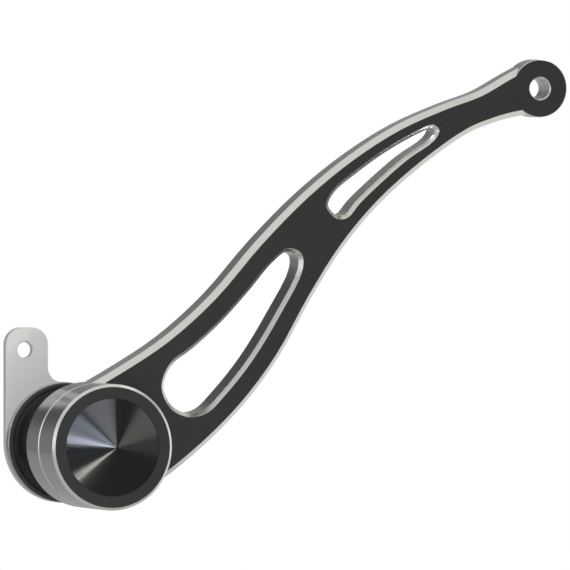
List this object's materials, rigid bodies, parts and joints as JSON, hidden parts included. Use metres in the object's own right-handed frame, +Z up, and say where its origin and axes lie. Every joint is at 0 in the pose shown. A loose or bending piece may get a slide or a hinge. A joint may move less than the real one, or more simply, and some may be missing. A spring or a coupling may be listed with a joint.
{
  "type": "gear shift lever",
  "caption": "Foot gear shift lever for a motorcycle: slotted S-curved arm with a peg boss, capped pivot hub, neck with dust seal, rod ear, and the spindle it turns on.",
  "frame": {"origin": "where the pivot axis meets the rear seat face of the pivot spindle", "axes": "+Y along the pivot axis towards the motorcycle, +X towards the toe end, +Z up; the arm rises 37 degrees above +X at rest"},
  "size_m": [0.2277, 0.0994, 0.1807],
  "materials": {
    "black_anodised_aluminium": "satin black anodise",
    "machined_aluminium": "fine turned",
    "stainless_plate": "fine blasted",
    "ground_steel": "ground",
    "spring_steel": "oiled",
    "black_oxide_steel": "black oxide",
    "bearing_bronze": "turned",
    "black_rubber": "moulded"
  },
  "bodies": {
    "fixed_spindle": {"pivot_spindle": "ground_steel", "locating_pin": "ground_steel", "rear_thrust_washer": "bearing_bronze", "front_thrust_washer": "bearing_bronze", "wave_washer": "spring_steel", "retaining_clip": "spring_steel", "bolt_plain_washer": "ground_steel", "bolt_lock_washer": "spring_steel", "mounting_bolt": "black_oxide_steel"},
    "lever": {"lever_arm": "black_anodised_aluminium", "hub_sleeve": "machined_aluminium", "drive_pin_1": "ground_steel", "drive_pin_2": "ground_steel", "rear_bush": "bearing_bronze", "front_bush": "bearing_bronze", "dust_seal": "black_rubber", "seal_collar": "machined_aluminium", "rod_ear": "stainless_plate", "ear_screw_1": "black_oxide_steel", "ear_screw_2": "black_oxide_steel", "ear_screw_3": "black_oxide_steel", "pivot_cap": "black_anodised_aluminium", "cap_o_ring": "black_rubber"}
  },
  "joints": [
    {"name": "lever_pivot", "type": "hinge", "parent": "fixed_spindle", "child": "lever", "pos_m": [0, -0.028, 0], "axis": [0, -1, 0], "range_deg": [-10, 10]}
  ]
}
